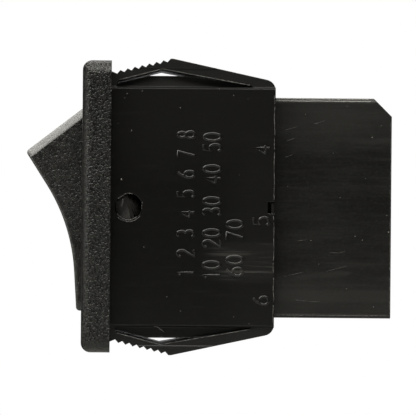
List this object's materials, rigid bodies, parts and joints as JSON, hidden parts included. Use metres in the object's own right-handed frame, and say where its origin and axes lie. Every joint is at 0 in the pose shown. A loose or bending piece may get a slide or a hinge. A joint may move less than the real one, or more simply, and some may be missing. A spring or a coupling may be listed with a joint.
{
  "type": "panel rocker switch",
  "caption": "Snap-in panel rocker switch, double pole changeover, with toothed bow wings and a shrouded rear connector.",
  "frame": {"origin": "middle of the panel cut-out, in the plane of the bezel's back face", "axes": "+X through the panel to the terminals, +Y across the switch, +Z along the rocker to its upper end"},
  "size_m": [0.0404, 0.025, 0.0328],
  "materials": {
    "housing_plastic": "near-black nylon, satin sides and spark-eroded bezel",
    "rocker_plastic": "dark grey-black, coarse spark-eroded grain",
    "base_plastic": "dark grey-black, fine satin with flow streaks",
    "terminal_brass": "stamped brass, satin",
    "contact_copper": "stamped copper alloy, satin",
    "contact_silver": "silver alloy rivets",
    "plunger_plastic": "natural acetal",
    "spring_steel": "drawn spring wire"
  },
  "bodies": {
    "body": {"housing": "housing_plastic", "base": "base_plastic", "terminal_1a": "terminal_brass", "terminal_1_common": "terminal_brass", "terminal_1b": "terminal_brass", "terminal_2a": "terminal_brass", "terminal_2_common": "terminal_brass", "terminal_2b": "terminal_brass", "fixed_contact_1a": "contact_silver", "fixed_contact_1b": "contact_silver", "fixed_contact_2a": "contact_silver", "fixed_contact_2b": "contact_silver"},
    "rocker": {"rocker": "rocker_plastic", "spring_1": "spring_steel", "spring_2": "spring_steel"},
    "contact_arm_1": {"contact_arm_1": "contact_copper", "moving_contact_1a": "contact_silver", "moving_contact_1b": "contact_silver"},
    "contact_arm_2": {"contact_arm_2": "contact_copper", "moving_contact_2a": "contact_silver", "moving_contact_2b": "contact_silver"},
    "plunger_1": {"plunger_1": "plunger_plastic"},
    "plunger_2": {"plunger_2": "plunger_plastic"}
  },
  "joints": [
    {"name": "rocker_tilt", "type": "hinge", "parent": "body", "child": "rocker", "pos_m": [0.00195, 0, 0], "axis": [0, 1, 0], "range_deg": [0, 36]},
    {"name": "contact_arm_1_tilt", "type": "hinge", "parent": "body", "child": "contact_arm_1", "pos_m": [0.0134, 0.0047, 0], "axis": [0, 1, 0], "range_deg": [-14, 0]},
    {"name": "contact_arm_2_tilt", "type": "hinge", "parent": "body", "child": "contact_arm_2", "pos_m": [0.0134, -0.0047, 0], "axis": [0, 1, 0], "range_deg": [-14, 0]},
    {"name": "plunger_1_slide", "type": "slide", "parent": "rocker", "child": "plunger_1", "axis": [-0.9511, 0, -0.309], "range_m": [0, 0.0008], "stiffness_N_per_m": 600, "springref_m": -0.0012, "deforming": ["spring_1"]},
    {"name": "plunger_2_slide", "type": "slide", "parent": "rocker", "child": "plunger_2", "axis": [-0.9511, 0, -0.309], "range_m": [0, 0.0008], "stiffness_N_per_m": 600, "springref_m": -0.0012, "deforming": ["spring_2"]}
  ],
  "couplings": [
    {"joint": "contact_arm_1_tilt", "follows": "rocker_tilt", "ratio": -0.38889},
    {"joint": "contact_arm_2_tilt", "follows": "rocker_tilt", "ratio": -0.38889}
  ]
}
